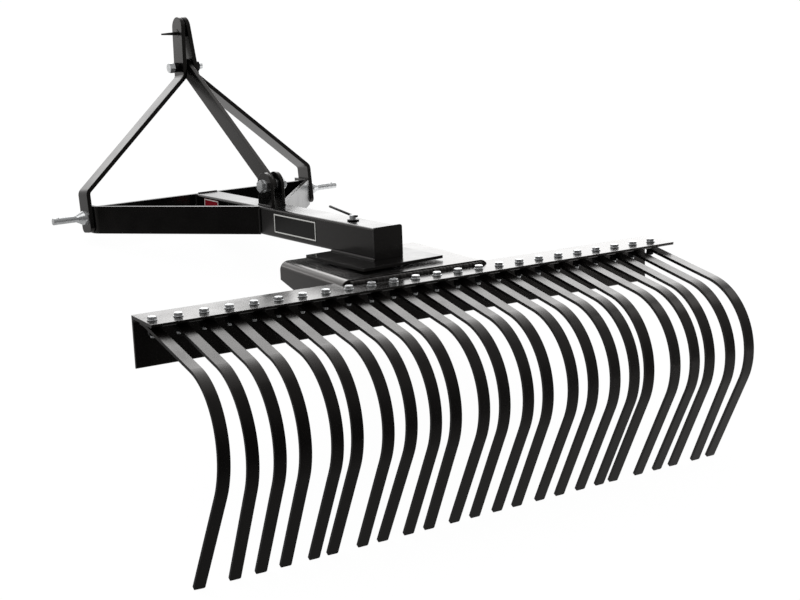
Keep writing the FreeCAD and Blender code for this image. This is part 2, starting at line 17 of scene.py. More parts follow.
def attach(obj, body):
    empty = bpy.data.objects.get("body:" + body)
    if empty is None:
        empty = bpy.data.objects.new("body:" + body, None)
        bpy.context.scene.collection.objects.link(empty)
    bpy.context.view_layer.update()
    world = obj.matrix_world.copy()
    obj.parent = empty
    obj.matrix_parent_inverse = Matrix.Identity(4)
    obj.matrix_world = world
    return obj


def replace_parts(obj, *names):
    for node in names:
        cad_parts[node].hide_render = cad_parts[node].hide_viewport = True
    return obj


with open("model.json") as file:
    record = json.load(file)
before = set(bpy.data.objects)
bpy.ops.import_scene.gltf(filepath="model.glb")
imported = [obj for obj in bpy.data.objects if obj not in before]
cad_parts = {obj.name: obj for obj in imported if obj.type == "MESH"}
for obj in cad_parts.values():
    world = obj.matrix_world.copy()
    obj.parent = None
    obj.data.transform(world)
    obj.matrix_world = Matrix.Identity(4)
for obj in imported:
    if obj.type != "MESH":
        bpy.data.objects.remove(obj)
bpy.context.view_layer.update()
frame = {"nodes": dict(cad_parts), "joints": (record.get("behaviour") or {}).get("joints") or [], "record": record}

# %% [markdown]
# ## The hitch's own axes
# The rake rests tipped over on its tine tips and the front of its yoke, so nothing on it is
# level. New pieces could be placed by numbers in the world, but each would then need its own
# tilt. Work is easier in the hitch's own axes: X runs from the left lower pin to the right one, Z
# is the axis that the rake head swivels on, and Y points forward along the boom. They are found
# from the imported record, so they follow the model. The rake head has a second set, turned a
# little on the same origin, which lies over the tine bar's front edge.

# %% Axes of the hitch and of the rake head
KINGPIN_AHEAD = 0.127        # from the tine bar's front edge ahead to the kingpin, in metres
HEAD_TURN = math.radians(-5)

mounts = {mount["name"]: Vector(mount["pos_m"]) for mount in frame["record"]["mounts"]}
swivel = frame["joints"][0]
across = (mounts["lower_pin_right"] - mounts["lower_pin_left"]).normalized()
upward = Vector(swivel["axis"]).normalized()
ahead = upward.cross(across).normalized()
across = ahead.cross(upward)

HITCH = Matrix((across, ahead, upward)).transposed().to_4x4()
HITCH.translation = Vector(swivel["pos_m"]) - ahead * KINGPIN_AHEAD
HEAD = HITCH @ Matrix.Rotation(HEAD_TURN, 4, "Z")
lean = math.degrees(upward.angle(Vector((0, 0, 1))))
print("hitch leans", round(lean, 1), "degrees from upright")

# %% [markdown]
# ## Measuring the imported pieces
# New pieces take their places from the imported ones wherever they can, so that they stay seated
# when the model's sizes change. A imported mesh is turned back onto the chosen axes, and its lowest
# and highest corners are read there. A box in the world's axes would be too large on a tilted
# rake.

# %% Measure
def reach(node, axes=HITCH):
    """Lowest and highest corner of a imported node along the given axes, in metres."""
    back = axes.inverted()
    points = [back @ vertex.co for vertex in frame["nodes"][node].data.vertices]
    return (Vector([min(point[i] for point in points) for i in range(3)]),
            Vector([max(point[i] for point in points) for i in range(3)]))


boom_low, boom_high = reach("boom_tube")
plate_high = reach("turntable_plate")[1]
bar_high = reach("tine_bar", HEAD)[1]
boom_side = boom_high.x
print("boom width", round(2 * boom_side, 4), "tine bar length", round(2 * bar_high.x, 4))

# %% [markdown]
# ## Shaping
# A new piece starts as a primitive near the world's origin, where its sizes are plain to see, and
# is shaped there in edit mode. Faces and edges could be picked by their numbers, but those change
# with every cut. Here a small test picks them, such as "faces that look up", and keeps working.

# %% Helpers that shape a mesh
def select_only(pieces):
    """Selects these objects and no others. The first one is active."""
    bpy.ops.object.select_all(action="DESELECT")
    for piece in pieces:
        piece.select_set(True)
    bpy.context.view_layer.objects.active = pieces[0]


def add_shape(operator, **settings):
    """A new primitive, the only thing selected and active."""
    bpy.ops.object.select_all(action="DESELECT")
    operator(**settings)
    return bpy.context.object


def edit(on):
    """Goes into edit mode, or back to object mode."""
    bpy.ops.object.mode_set(mode="EDIT" if on else "OBJECT")


def pick(kind, test):
    """In edit mode, selects the verts, edges or faces that pass a test, and only those."""
    bpy.ops.mesh.select_mode(type={"verts": "VERT", "edges": "EDGE", "faces": "FACE"}[kind])
    bpy.ops.mesh.select_all(action="DESELECT")
    mesh = bmesh.from_edit_mesh(bpy.context.object.data)
    for item in getattr(mesh, kind):
        if test(item):
            item.select_set(True)
    bmesh.update_edit_mesh(bpy.context.object.data)


print("mode:", bpy.context.mode)

# %% [markdown]
# ## Placing
# A shaped piece is carried to its place with its mesh. It could stay at the origin and be moved
# by its object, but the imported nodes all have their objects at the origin, and new ones that do
# the same can be turned by the joint in the same way.

# %% Helpers that place a piece
def set_in_mesh(piece):
    """Moves the object's place, turn and size into its mesh."""
    select_only([piece])
    bpy.ops.object.transform_apply(location=True, rotation=True, scale=True)


def place(piece, matrix):
    """Carries a piece from the origin to its place on the rake."""
    piece.matrix_world = matrix @ piece.matrix_world
    set_in_mesh(piece)
    return piece


def copy_at(piece, name, matrix):
    """A copy with its own mesh, carried to its place."""
    twin = piece.copy()
    twin.data = piece.data.copy()
    twin.name = name
    bpy.context.collection.objects.link(twin)
    return place(twin, matrix)


def weld_together(pieces, name):
    """Joins shapes into one piece."""
    select_only(pieces)
    if len(pieces) > 1:
        bpy.ops.object.join()
    pieces[0].name = name
    return pieces[0]


def along_bar(start, end):
    """Carries a bar that stands on the origin to a line from start to end."""
    turn = (end - start).to_track_quat("Z", "Y").to_matrix().to_4x4()
    return Matrix.Translation(start) @ turn


# %% [markdown]
# ## Finishing
# Every new piece gets one finish, smooth shading and a body to ride on. Faces that meet at less
# than a chosen angle shade as one rounded surface and the others keep a crease, which costs no
# mesh: a hexagon needs a low angle to stay crisp, a ripple of weld a high one.

# %% Helper that finishes a piece
HEX_CREASE = 25              # degrees
FLAT_CREASE = 30
ROUND_CREASE = 50
WELD_CREASE = 60


def finish_piece(piece, material, body, crease):
    """Gives a piece its finish, rounds its shading and lets it ride on its body."""
    if material is not None:
        piece.data.materials.clear()
        piece.data.materials.append(material)
    select_only([piece])
    bpy.ops.object.shade_smooth_by_angle(angle=math.radians(crease))
    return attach(piece, body)


print("creases in degrees:", HEX_CREASE, FLAT_CREASE, ROUND_CREASE, WELD_CREASE)

# %% [markdown]
# ## Colours and nodes
# Colours are written as hex codes, as on a paint card, and turned linear by one function, because
# the shader works with light and not with screen values. One more function adds a shader node
# with its settings and links, so that a material reads as a short list of its layers.

# %% Colour and node helpers
WHITE = "ffffff"


def colour(code):
    """Linear RGBA of an sRGB hex code such as "8a8f94"."""
    parts = [int(code[i:i + 2], 16) / 255 for i in (0, 2, 4)]
    return tuple(c / 12.92 if c <= 0.04045 else ((c + 0.055) / 1.055) ** 2.4
                 for c in parts) + (1.0,)


def grey(level):
    """RGBA of a plain level, for roughness and brightness."""
    return (level, level, level, 1.0)


def add(tree, kind, links=None, **settings):
    """Adds a node. links fills its sockets, by name or number, from sockets or plain values."""
    node = tree.nodes.new(kind)
    for name, value in settings.items():
        setattr(node, name, value)
    for key, value in (links or {}).items():
        if isinstance(value, bpy.types.NodeSocket):
            tree.links.new(value, node.inputs[key])
        else:
            node.inputs[key].default_value = value
    return node


print("a middle grey in linear light:", [round(part, 3) for part in colour("808080")])

# %% [markdown]
# ## Patterns
# Paint, zinc and vinyl vary a little from place to place. Noise in the object's own coordinates
# is used for all of it: it needs no unwrapping, and since the objects stand at the origin in
# metres, a pattern's size is known. A ramp turns the noise into two tints or two degrees of
# shine, and a bump turns it into relief.

# %% Helpers for patterns
MM_PER_METRE = 1000
BEVEL_SAMPLES = 4


def new_material(name):
    """An empty material, its node tree and the object coordinates that its patterns read."""
    material = bpy.data.materials.new(name)
    material.use_nodes = True
    tree = material.node_tree
    tree.nodes.clear()
    place_in_metres = add(tree, "ShaderNodeTexCoord").outputs["Object"]
    return material, tree, place_in_metres


def noise(tree, where, blotch_mm, detail, **more):
    """Noise whose blotches are about this many millimetres across."""
    scale = MM_PER_METRE / blotch_mm
    return add(tree, "ShaderNodeTexNoise",
               {"Vector": where, "Scale": scale, "Detail": detail, **more}).outputs[0]


def ramp(tree, factor, dark, light, low, high):
    """Colours or grey levels between two stops."""
    node = add(tree, "ShaderNodeValToRGB", {0: factor})
    node.color_ramp.elements[0].position = low
    node.color_ramp.elements[1].position = high
    node.color_ramp.elements[0].color = dark
    node.color_ramp.elements[1].color = light
    return node.outputs["Color"]


def relief(tree, height, depth_mm, edge_mm=0):
    """Bump of a depth. With an edge, light also rounds every sharp corner by that radius."""
    links = {"Height": height, "Strength": 1.0, "Distance": depth_mm / MM_PER_METRE}
    if edge_mm:
        links["Normal"] = add(tree, "ShaderNodeBevel", {"Radius": edge_mm / MM_PER_METRE},
                              samples=BEVEL_SAMPLES).outputs[0]
    return add(tree, "ShaderNodeBump", links).outputs[0]


def show(tree, shader):
    """Makes a shader the material's surface."""
    add(tree, "ShaderNodeOutputMaterial", {"Surface": shader.outputs[0]})


print("noise scale for 4 mm blotches:", MM_PER_METRE / 4)

# %% [markdown]
# ## Coats
# The frame is gloss black powder coat, sprayed dry and melted in an oven. The melted skin pulls
# itself nearly flat but keeps orange peel: shallow waves 2 to 4 mm long that make a reflection's
# edge crawl. It also sets a little duller in some places than in others. The bar and the channel
# have a satin skin that mirrors more at a low angle, the tines a thinner and duller one, and over
# a weld bead the skin is rough. One recipe with different settings makes all four. Modelled waves
# would need millions of faces, so the peel is a bump, and a bevel node rounds the light on sharp
# edges, as the thick skin does on the steel.

# %% Black coats over steel
COAT_IOR = 1.5
CLOUD_MM = 60                # patches of duller and glossier skin
DUST_MM = 1.2                # fine specks of a lighter black
SKIN_TINT = "fff8f3"         # the gloss is a trace warmer than white


def coated_steel(name, base, shine, peel_mm, peel_depth, edge_mm, specular):
    """Black coat over steel: shine is the roughness at its glossiest and its dullest."""
    material, tree, where = new_material(name)
    peel = noise(tree, where, peel_mm, 2.0)
    cloud = noise(tree, where, CLOUD_MM, 4.0)
    dust = noise(tree, where, DUST_MM, 3.0, Roughness=0.7)
    tint = ramp(tree, dust, colour(base[0]), colour(base[1]), low=0.45, high=0.85)
    dull = ramp(tree, cloud, grey(shine[0]), grey(shine[1]), low=0.3, high=0.7)
    skin = add(tree, "ShaderNodeBsdfPrincipled",
               {"Base Color": tint, "Roughness": dull, "IOR": COAT_IOR,
                "Specular IOR Level": specular, "Specular Tint": colour(SKIN_TINT),
                "Normal": relief(tree, peel, peel_depth, edge_mm)})
    show(tree, skin)
    return material


FRAME_COAT = coated_steel("gloss_black_powder_coat", ("030303", "080707"), (0.14, 0.24),
                          peel_mm=3.0, peel_depth=0.02, edge_mm=1.1, specular=0.5)
HEAD_COAT = coated_steel("satin_black_powder_coat", ("030303", "080707"), (0.14, 0.22),
                         peel_mm=2.5, peel_depth=0.02, edge_mm=1.1, specular=1.0)
TINE_COAT = coated_steel("satin_black_spring_steel_coat", ("040303", "080706"), (0.2, 0.3),
                         peel_mm=1.5, peel_depth=0.015, edge_mm=0.5, specular=0.45)
WELD_COAT = coated_steel("powder_coat_over_weld", ("060606", "0e0d0d"), (0.25, 0.4),
                         peel_mm=1.8, peel_depth=0.12, edge_mm=0.3, specular=0.5)
print("coats:", [coat.name for coat in (FRAME_COAT, HEAD_COAT, TINE_COAT, WELD_COAT)])

# %% [markdown]
# ## Metals
# Zinc plating is a few microns of zinc laid on steel in a bath and sealed, so it is silvery, soft
# in shine, and mottled in patches of a few millimetres. Black oxide is a dark skin that oil makes
# satin. Both show bare metal's own reflections, so they are metallic, and the zinc is a little
# less so because its sealer scatters some light. The same patches drive tint and shine: where the
# plating is paler it is also smoother.

# %% Zinc plating and black oxide
GRAIN_MM = 0.8
GRAIN_DEPTH = 0.02
METAL_EDGE = 0.4


def plated_steel(name, low, high, shine, patch_mm, metal=1.0):
    """Plated steel between two tints: shine is the roughness at its glossiest and its dullest."""
    material, tree, where = new_material(name)
    patch = noise(tree, where, patch_mm, 4.0)
    grain = noise(tree, where, GRAIN_MM, 2.0)
    tint = ramp(tree, patch, colour(low), colour(high), low=0.35, high=0.65)
    dull = ramp(tree, patch, grey(shine[1]), grey(shine[0]), low=0.3, high=0.7)
    show(tree, add(tree, "ShaderNodeBsdfPrincipled",
                   {"Base Color": tint, "Roughness": dull, "Metallic": metal,
                    "Normal": relief(tree, grain, GRAIN_DEPTH, METAL_EDGE)}))
    return material


ZINC = plated_steel("bright_zinc_plating", "c3c5c6", "e2e3e4", (0.2, 0.34), 4.0, metal=0.82)
OXIDE = plated_steel("oiled_black_oxide", "232324", "363637", (0.28, 0.42), 6.0)
print("metals:", ZINC.name, OXIDE.name)

# %% [markdown]
# ## Plastics and vinyl
# The blank plate on the boom is black vinyl film with a pale printed line, the small sticker is
# red film with the same line, and the lock pin's handle is dipped in black PVC. Film is smooth
# and flat; the dip is soft, a little uneven and satin. None of them is clear or metallic, so a
# faintly mottled tint and a shallow grain are enough.

# %% Film and dip
PLASTIC_IOR = 1.48


def plastic(name, low, high, roughness, grain_mm, depth, specular=0.5):
    """Opaque plastic between two tints, with a grain of a width and a depth in millimetres."""
    material, tree, where = new_material(name)
    grain = noise(tree, where, grain_mm, 3.0)
    tint = ramp(tree, grain, colour(low), colour(high), low=0.3, high=0.7)
    show(tree, add(tree, "ShaderNodeBsdfPrincipled",
                   {"Base Color": tint, "Roughness": roughness, "IOR": PLASTIC_IOR,
                    "Specular IOR Level": specular, "Normal": relief(tree, grain, depth)}))
    return material


BLACK_FILM = plastic("black_vinyl_film", "0b0a09", "100f0e", 0.3, 5.0, 0.01, specular=0.2)
PALE_PRINT = plastic("pale_screen_print", "cfcfcb", "dededa", 0.35, 1.0, 0.005)
RED_FILM = plastic("red_vinyl_film", "7d1420", "8d1a26", 0.25, 3.0, 0.01)
DIP = plastic("black_pvc_dip", "0c0c0c", "131313", 0.4, 2.0, 0.05)
print("plastics:", [film.name for film in (BLACK_FILM, PALE_PRINT, RED_FILM, DIP)])

# %% [markdown]
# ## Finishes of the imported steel
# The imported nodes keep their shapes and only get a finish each. The kingpin, the brace's bolt and
# the lower pins are plated, because their fits would not bear a thick coat; the rest is coated. A
# node could also be copied and the copy painted, but then two meshes would lie in one place.

# %% Paint the nodes
ZINC_NODES = {"kingpin", "brace_bolt", "lower_pin_left", "lower_pin_right"}
HEAD_NODES = {"tine_bar", "swivel_channel"}

for name, node in frame["nodes"].items():
    material = FRAME_COAT
    if name in ZINC_NODES:
        material = ZINC
    elif name in HEAD_NODES:
        material = HEAD_COAT
    elif name.startswith("tine_"):
        material = TINE_COAT
    node.data.materials.clear()
    node.data.materials.append(material)

tines = sorted(name for name in frame["nodes"] if name.startswith("tine_") and name != "tine_bar")
print("painted nodes:", len(frame["nodes"]), "of which tines:", len(tines))

# %% [markdown]
# ## Hexagons
# A bolt head is a hexagon whose corners are cut by a cone. The cut could be drawn vertex by
# vertex, but the real one comes from a lathe, and the same works here: a hexagon is intersected
# with a round bar that narrows at the top.

# %% Hexagon
HEX_SIDES = 6
ROUND_SIDES = 48
FACING = 0.9                 # a face looks along an axis when this much of its normal does
CORNER_CUT = 0.07            # the cone's height, as a share of the width over flats
CUT_TOP = 0.94               # the top face's diameter, as a share of the width over flats
OVERSIZE = 1.001             # keeps the round bar clear of the hexagon's corners


def standing(vertices, radius, height, base):
    """Cylinder or prism that stands on base."""
    shape = add_shape(bpy.ops.mesh.primitive_cylinder_add, vertices=vertices, radius=radius,
                      depth=height, location=(0, 0, base + height / 2))
    set_in_mesh(shape)
    return shape


def hexagon(flats, height, base):
    """Hex head or nut that stands on base, its upper corners cut by a cone."""
    corner = flats / math.sqrt(3)
    chamfer = CORNER_CUT * flats
    body = standing(HEX_SIDES, corner, height, base)
    cone = standing(ROUND_SIDES, corner * OVERSIZE, height - chamfer, base)
    edit(True)
    pick("faces", lambda face: face.normal.z > FACING)
    bpy.ops.mesh.extrude_region_move(TRANSFORM_OT_translate={"value": (0, 0, chamfer)})
    shrink = CUT_TOP * flats / 2 / corner
    bpy.ops.transform.resize(value=(shrink, shrink, 1), center_override=(0, 0, 0))
    edit(False)
    keep = body.modifiers.new("corners", "BOOLEAN")
    keep.operation = "INTERSECT"
    keep.object = cone
    select_only([body])
    bpy.ops.object.modifier_apply(modifier="corners")
    bpy.data.objects.remove(cone)
    return body


print("cone height on a 24 mm hexagon:", round(CORNER_CUT * 24, 2), "mm")

# %% [markdown]
# ## Discs and threads
# Washers and collars are discs with softened rims. A thread is a rod with a ring at every half
# pitch, each second ring shrunk; a true helix could be swept, but it would not show at this size.

# %% Disc and ridged rod
DISC_SIDES = 32
THREAD_SIDES = 16
RIM_SEGMENTS = 2
SAME_HEIGHT = 1e-6


def disc(radius, thickness, base, rounding):
    """Washer, collar or bar with softened rims, standing on base."""
    ring = standing(DISC_SIDES, radius, thickness, base)
    edit(True)
    pick("edges", lambda edge: abs(edge.verts[0].co.z - edge.verts[1].co.z) < SAME_HEIGHT)
    bpy.ops.mesh.bevel(offset=rounding, segments=RIM_SEGMENTS, affect="EDGES")
    edit(False)
    return ring


def ridged_rod(radius, length, pitch, depth, sides=THREAD_SIDES):
    """Rod along Z from 0 to length, with a ridge at every pitch: a thread or a bead of weld."""
    rod = standing(sides, radius, length, 0)
    cuts = 2 * max(1, round(length / pitch)) - 1
    edit(True)
    pick("edges", lambda edge: abs(edge.verts[0].co.z - edge.verts[1].co.z) > length / 2)
    bpy.ops.mesh.subdivide(number_cuts=cuts)
    step = length / (cuts + 1)
    pick("verts", lambda vertex: round(vertex.co.z / step) % 2 == 0)
    bpy.ops.transform.resize(value=(1 - depth, 1 - depth, 1), center_override=(0, 0, 0))
    edit(False)
    return rod


print("sides of a disc:", DISC_SIDES, "and of a thread:", THREAD_SIDES)

# %% [markdown]
# ## Bolts of the tines
# Each tine hangs on one flanged hex bolt through the tine bar's flange. The bright head ends in a
# thin round skirt, which spreads its load. Below the tine are a black nut with the same skirt and
# the bolt's threaded end. One of each is modelled here and copied later, since all 24 are alike.

# %% Model one bolt
BOLT_FLATS = 0.0155
HEAD_HEIGHT = 0.0057
NUT_HEIGHT = 0.009
SKIRT_RADIUS = 0.0096
SKIRT_THICKNESS = 0.002
SKIRT_ROUNDING = 0.0004
BOLT_RADIUS = 0.0048
STUB = 0.0055                # the thread that shows below the nut
THREAD_PITCH = 0.0016
THREAD_DEPTH = 0.08          # as a share of the bolt's radius


def flanged_hexagon(height, name):
    """Hexagon on its skirt, standing on the origin."""
    return weld_together([hexagon(BOLT_FLATS, height, SKIRT_THICKNESS),
                          disc(SKIRT_RADIUS, SKIRT_THICKNESS, 0, SKIRT_ROUNDING)], name)


def turned_over(piece):
    """Turns a piece upside down about the X axis."""
    return place(piece, Matrix.Rotation(math.pi, 4, "X"))


bolt_head = flanged_hexagon(HEAD_HEIGHT, "tine_bolt")
stud_length = SKIRT_THICKNESS + NUT_HEIGHT + STUB
stud = turned_over(ridged_rod(BOLT_RADIUS, stud_length, THREAD_PITCH, THREAD_DEPTH))
nut = turned_over(flanged_hexagon(NUT_HEIGHT, "tine_nut"))
print("bolt faces", len(bolt_head.data.polygons), "nut faces", len(nut.data.polygons))

# %% [markdown]
# ## The row of bolts
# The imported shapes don't show where the bolts go, so the row's pitch and its setback are repeated
# from the drawing here. A tine falls away from the flange just ahead of its bolt, so the nut
# leans back with it. An array would stop every hexagon at the same angle, while a spanner leaves
# each at its own, so the copies are turned one by one.

# %% Copy the bolts down the row
TINE_PITCH = 0.0508
BOLT_SETBACK = 0.066
FLANGE = 0.00635             # the flange and a tine are both a quarter inch thick
FALL_AHEAD = 0.017           # the tine's bend ahead of its bolt
FALL = math.radians(10.5)
SPANNER_STEP = 37            # degrees from one bolt's stop to the next one's
SIXTH_TURN = 60              # a hexagon repeats after this many degrees

tine_middle = bar_high.z - FLANGE * 1.5 - FALL_AHEAD * math.tan(FALL)
nut_seat = tine_middle - FLANGE / 2 / math.cos(FALL)
leaning = Matrix.Rotation(FALL, 4, "X")
for index, name in enumerate(tines):
    number = name[-2:]
    x = (index - (len(tines) - 1) / 2) * TINE_PITCH
    spanner = Matrix.Rotation(math.radians(SPANNER_STEP * index % SIXTH_TURN), 4, "Z")
    above = HEAD @ Matrix.Translation((x, -BOLT_SETBACK, bar_high.z)) @ spanner
    below = HEAD @ Matrix.Translation((x, -BOLT_SETBACK, nut_seat)) @ leaning @ spanner
    for shape, kind, matrix, metal, slot in (
            (bolt_head, "tine_bolt_", above, ZINC, "zinc_plate"),
            (nut, "tine_nut_", below, OXIDE, "black_oxide"),
            (stud, "tine_stud_", below, ZINC, "zinc_plate")):
        finish_piece(copy_at(shape, kind + number, matrix), metal, "rake_head", HEX_CREASE)
for pattern in (bolt_head, nut, stud):
    bpy.data.objects.remove(pattern)
print("bolts:", len(tines), "nut seat", round(nut_seat, 4))

# %% [markdown]
# ## Weld beads
# The frame is arc welded before it is coated. A fillet bead fills each inner corner, about as
# wide as the thinner wall, with a ripple where the puddle froze every few millimetres. A bump on
# the steel would not close the corner, so a bead is a ridged rod, laid half sunk in its corner
# and smoothed by a subdivision surface.

# %% Helpers for beads
RIPPLE = 0.005
RIPPLE_DEPTH = 0.14          # as a share of the bead's radius
BEAD_SIDES = 8


def bead(start, end, radius, axes):
    """Bead of weld between two points of the given axes."""
    rod = ridged_rod(radius, (end - start).length, RIPPLE, RIPPLE_DEPTH, sides=BEAD_SIDES)
    soft = rod.modifiers.new("soft", "SUBSURF")
    soft.levels = 1
    soft.render_levels = 1
    bpy.ops.object.modifier_apply(modifier="soft")
    return place(rod, axes @ along_bar(start, end))


def beads(name, lines, radius, axes, body):
    """Several beads as one piece. lines are pairs of points."""
    laid = [bead(Vector(start), Vector(end), radius, axes) for start, end in lines]
    piece = finish_piece(weld_together(laid, name), WELD_COAT, body, WELD_CREASE)
    print(name, "beads", len(laid), "faces", len(piece.data.polygons))
    return piece


# %% [markdown]
# ## Beads on the hitch
# The boom is welded to the turntable plate along both of its lower edges, and the brace's lugs to
# the boom's top. The cross strap closes the boom's front end, and each side strap of the yoke is
# welded to the boom's side before and behind its wall. Short returns round the corners are left
# out, since they would not show.

# %% Lay the beads on the hitch
FOOT_BEAD = 0.005            # the radius of each bead
LUG_BEAD = 0.004
FRONT_BEAD = 0.004
YOKE_BEAD = 0.0045
FRONT_INSET = 0.006          # the front bead stops this far inside the boom's corners
YOKE_INSET = 0.004
STRAP_ROOT = 0.541           # where the yoke's straps leave the boom's sides
STRAP_MOUTH = 0.0155         # a strap's wall, measured along the boom

lug_low, lug_high = reach("brace_lug_left")
lug_right = reach("brace_lug_right")[1].x
front = reach("cross_strap")[0].y
rear = reach("boom_end_plate")[0].y
boom_top, boom_bottom, foot = boom_high.z, boom_low.z, plate_high.z

beads("weld_boom_foot",
      [((x, rear, foot), (x, plate_high.y, foot)) for x in (-boom_side, boom_side)],
      FOOT_BEAD, HITCH, "hitch")
beads("weld_brace_lugs",
      [((x, lug_low.y, boom_top), (x, lug_high.y, boom_top)) for x in (lug_low.x, lug_right)],
      LUG_BEAD, HITCH, "hitch")
beads("weld_boom_front",
      [((FRONT_INSET - boom_side, front, boom_top), (boom_side - FRONT_INSET, front, boom_top)),
       ((-boom_side, front, boom_bottom), (-boom_side, front, boom_top)),
       ((boom_side, front, boom_bottom), (boom_side, front, boom_top))],
      FRONT_BEAD, HITCH, "hitch")
beads("weld_yoke",
      [((x, y, boom_bottom + YOKE_INSET), (x, y, boom_top - YOKE_INSET))
       for x in (-boom_side, boom_side) for y in (STRAP_ROOT, STRAP_ROOT + STRAP_MOUTH)],
      YOKE_BEAD, HITCH, "hitch")

# %% [markdown]
# ## Beads on the rake head
# The channel's web laps over the bar's flange, and one wide bead runs along its rear edge,
# between the rounded corners. At both ends a thin upright bead joins the channel's walls to the
# bar. The head's beads ride on the head, so they turn with it.

# %% Lay the beads on the rake head
LAP_BEAD = 0.0085
WALL_BEAD = 0.0025
LAP_INSET = 0.019            # the lap's bead stops at the web's rounded corners
WALL_INSET = 0.003
WALL_GAP = 0.001             # ahead of the bar's front edge
WALL_TOP = -0.02
WALL_FOOT = -0.082

channel_low, channel_high = reach("swivel_channel", HEAD)
lap_end = channel_high.x - LAP_INSET
beads("weld_channel_lap", [((-lap_end, channel_low.y, 0), (lap_end, channel_low.y, 0))],
      LAP_BEAD, HEAD, "rake_head")
beads("weld_channel",
      [((x, WALL_GAP, WALL_TOP), (x, WALL_GAP, WALL_FOOT))
       for x in (channel_low.x + WALL_INSET, channel_high.x - WALL_INSET)],
      WALL_BEAD, HEAD, "rake_head")

# %% [markdown]
# ## Lock pin
# The lock pin drops through the boom, the plate and one of the channel's index holes. It has a
# bright zinc shank, a black collar that rests on the boom, a bare head with a short cross stub,
# and a bent handle dipped in black plastic. One mesh with four finishes would do too, but
# separate pieces keep each finish simple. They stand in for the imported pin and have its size.

# %% Size the lock pin
PIN_RADIUS = 0.008
PIN_ROUNDING = 0.0015
PIN_RISE = 0.010             # the pin's head above its collar
COLLAR_RADIUS = 0.013
COLLAR_HEIGHT = 0.003
COLLAR_ROUNDING = 0.0006

pin_low, pin_high = reach("lock_pin")
pin_y = pin_low.y + COLLAR_RADIUS
pin_top = boom_top + COLLAR_HEIGHT + PIN_RISE
on_pin = HITCH @ Matrix.Translation((0, pin_y, 0))
print("lock pin length", round(pin_top - pin_low.z, 4))

# %% [markdown]
# The shank and the collar are turned parts, so each is a disc with softened rims, long or short.
# The head needs no piece of its own: it is the shank's upper end.

# %% Shank and collar
shank = disc(PIN_RADIUS, pin_top - pin_low.z, pin_low.z, PIN_ROUNDING)
finish_piece(place(shank, on_pin), ZINC, "hitch", ROUND_CREASE)
shank.name = "lock_pin_shank"
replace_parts(shank, "lock_pin")

collar = disc(COLLAR_RADIUS, COLLAR_HEIGHT, boom_top, COLLAR_ROUNDING)
collar.name = "lock_pin_collar"
finish_piece(place(collar, on_pin), OXIDE, "hitch", ROUND_CREASE)
print("shank faces", len(shank.data.polygons), "collar faces", len(collar.data.polygons))

# %% [markdown]
# The handle and the stub are one bent rod pushed through the pin's head. Each half is a straight
# bar with rounded ends, laid from the head to its tip, and the bend between them is hidden in the
# head.

# %% Handle and stub
HANDLE_RADIUS = 0.00275
HANDLE_ROUNDING = 0.0018
HANDLE_END_GAP = 0.001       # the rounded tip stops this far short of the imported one
STUB_RADIUS = HANDLE_RADIUS * 0.9   # thinner, for it has no dip
STUB_ROUNDING = 0.001
STUB_REACH = 0.016
STUB_RISE = 0.001


def round_bar(name, start, end, radius, rounding):
    """Round bar from start to end on the hitch's axes, with rounded ends."""
    bar = disc(radius, (end - start).length, 0, rounding)
    bar.name = name
    return place(bar, HITCH @ along_bar(start, end))


through_head = Vector((0, pin_y, pin_top - HANDLE_RADIUS))
handle_end = Vector((0, pin_high.y - HANDLE_END_GAP, pin_high.z - HANDLE_RADIUS))
stub_end = Vector((0, pin_y - STUB_REACH, through_head.z + STUB_RISE))
handle = round_bar("lock_pin_handle", through_head, handle_end, HANDLE_RADIUS, HANDLE_ROUNDING)
finish_piece(handle, DIP, "hitch", ROUND_CREASE)
cross_stub = round_bar("lock_pin_stub", through_head, stub_end, STUB_RADIUS, STUB_ROUNDING)
finish_piece(cross_stub, OXIDE, "hitch", ROUND_CREASE)
print("handle length", round((handle_end - through_head).length, 4))

# %% [markdown]
# ## Mast bolt
# One bolt ties the mast's bars to the brace. The bolt is zinc plated, while the long sleeve under
# its head, the spacers between the bars and the nut are black. The hexagons are turned about the
# bolt by the mast's lean, so that their flats follow its bars. The pieces stand for the packed
# bolt, at its size; as separate turned shapes they can carry two finishes and reuse the tine
# bolts' hexagon.

# %% Model the mast bolt
MAST_LEAN = math.radians(6.5)
MAST_BOLT_FLATS = 0.024
MAST_NUT = 0.013
SLEEVE_RADIUS = 0.012
SLEEVE = 0.014
SLEEVE_ROUNDING = 0.0008
SHANK_RADIUS = 0.008
SHANK_ROUNDING = 0.0012
SPACER_ROUNDING = 0.0005
SPACER = (0.005, 0.0091)     # from the brace's side to a bar's inner face
LEFT, RIGHT = -1, 1

bolt_low, bolt_high = reach("mast_bolt")
bolt_axis = (bolt_low + bolt_high) / 2
left_face = bolt_low.x + MAST_NUT + SLEEVE
sleeve_face = left_face - SLEEVE


def across_mast(piece, name, x, facing, material):
    """Lays a shape that stands on the origin across the mast, from x to the left or the right."""
    turn = (Matrix.Rotation(facing * math.pi / 2, 4, "Y")
            @ Matrix.Rotation(facing * MAST_LEAN, 4, "Z"))
    place(piece, HITCH @ Matrix.Translation((x, bolt_axis.y, bolt_axis.z)) @ turn)
    piece.name = name
    finish_piece(piece, material, "hitch", FLAT_CREASE)
    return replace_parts(piece, "mast_bolt")


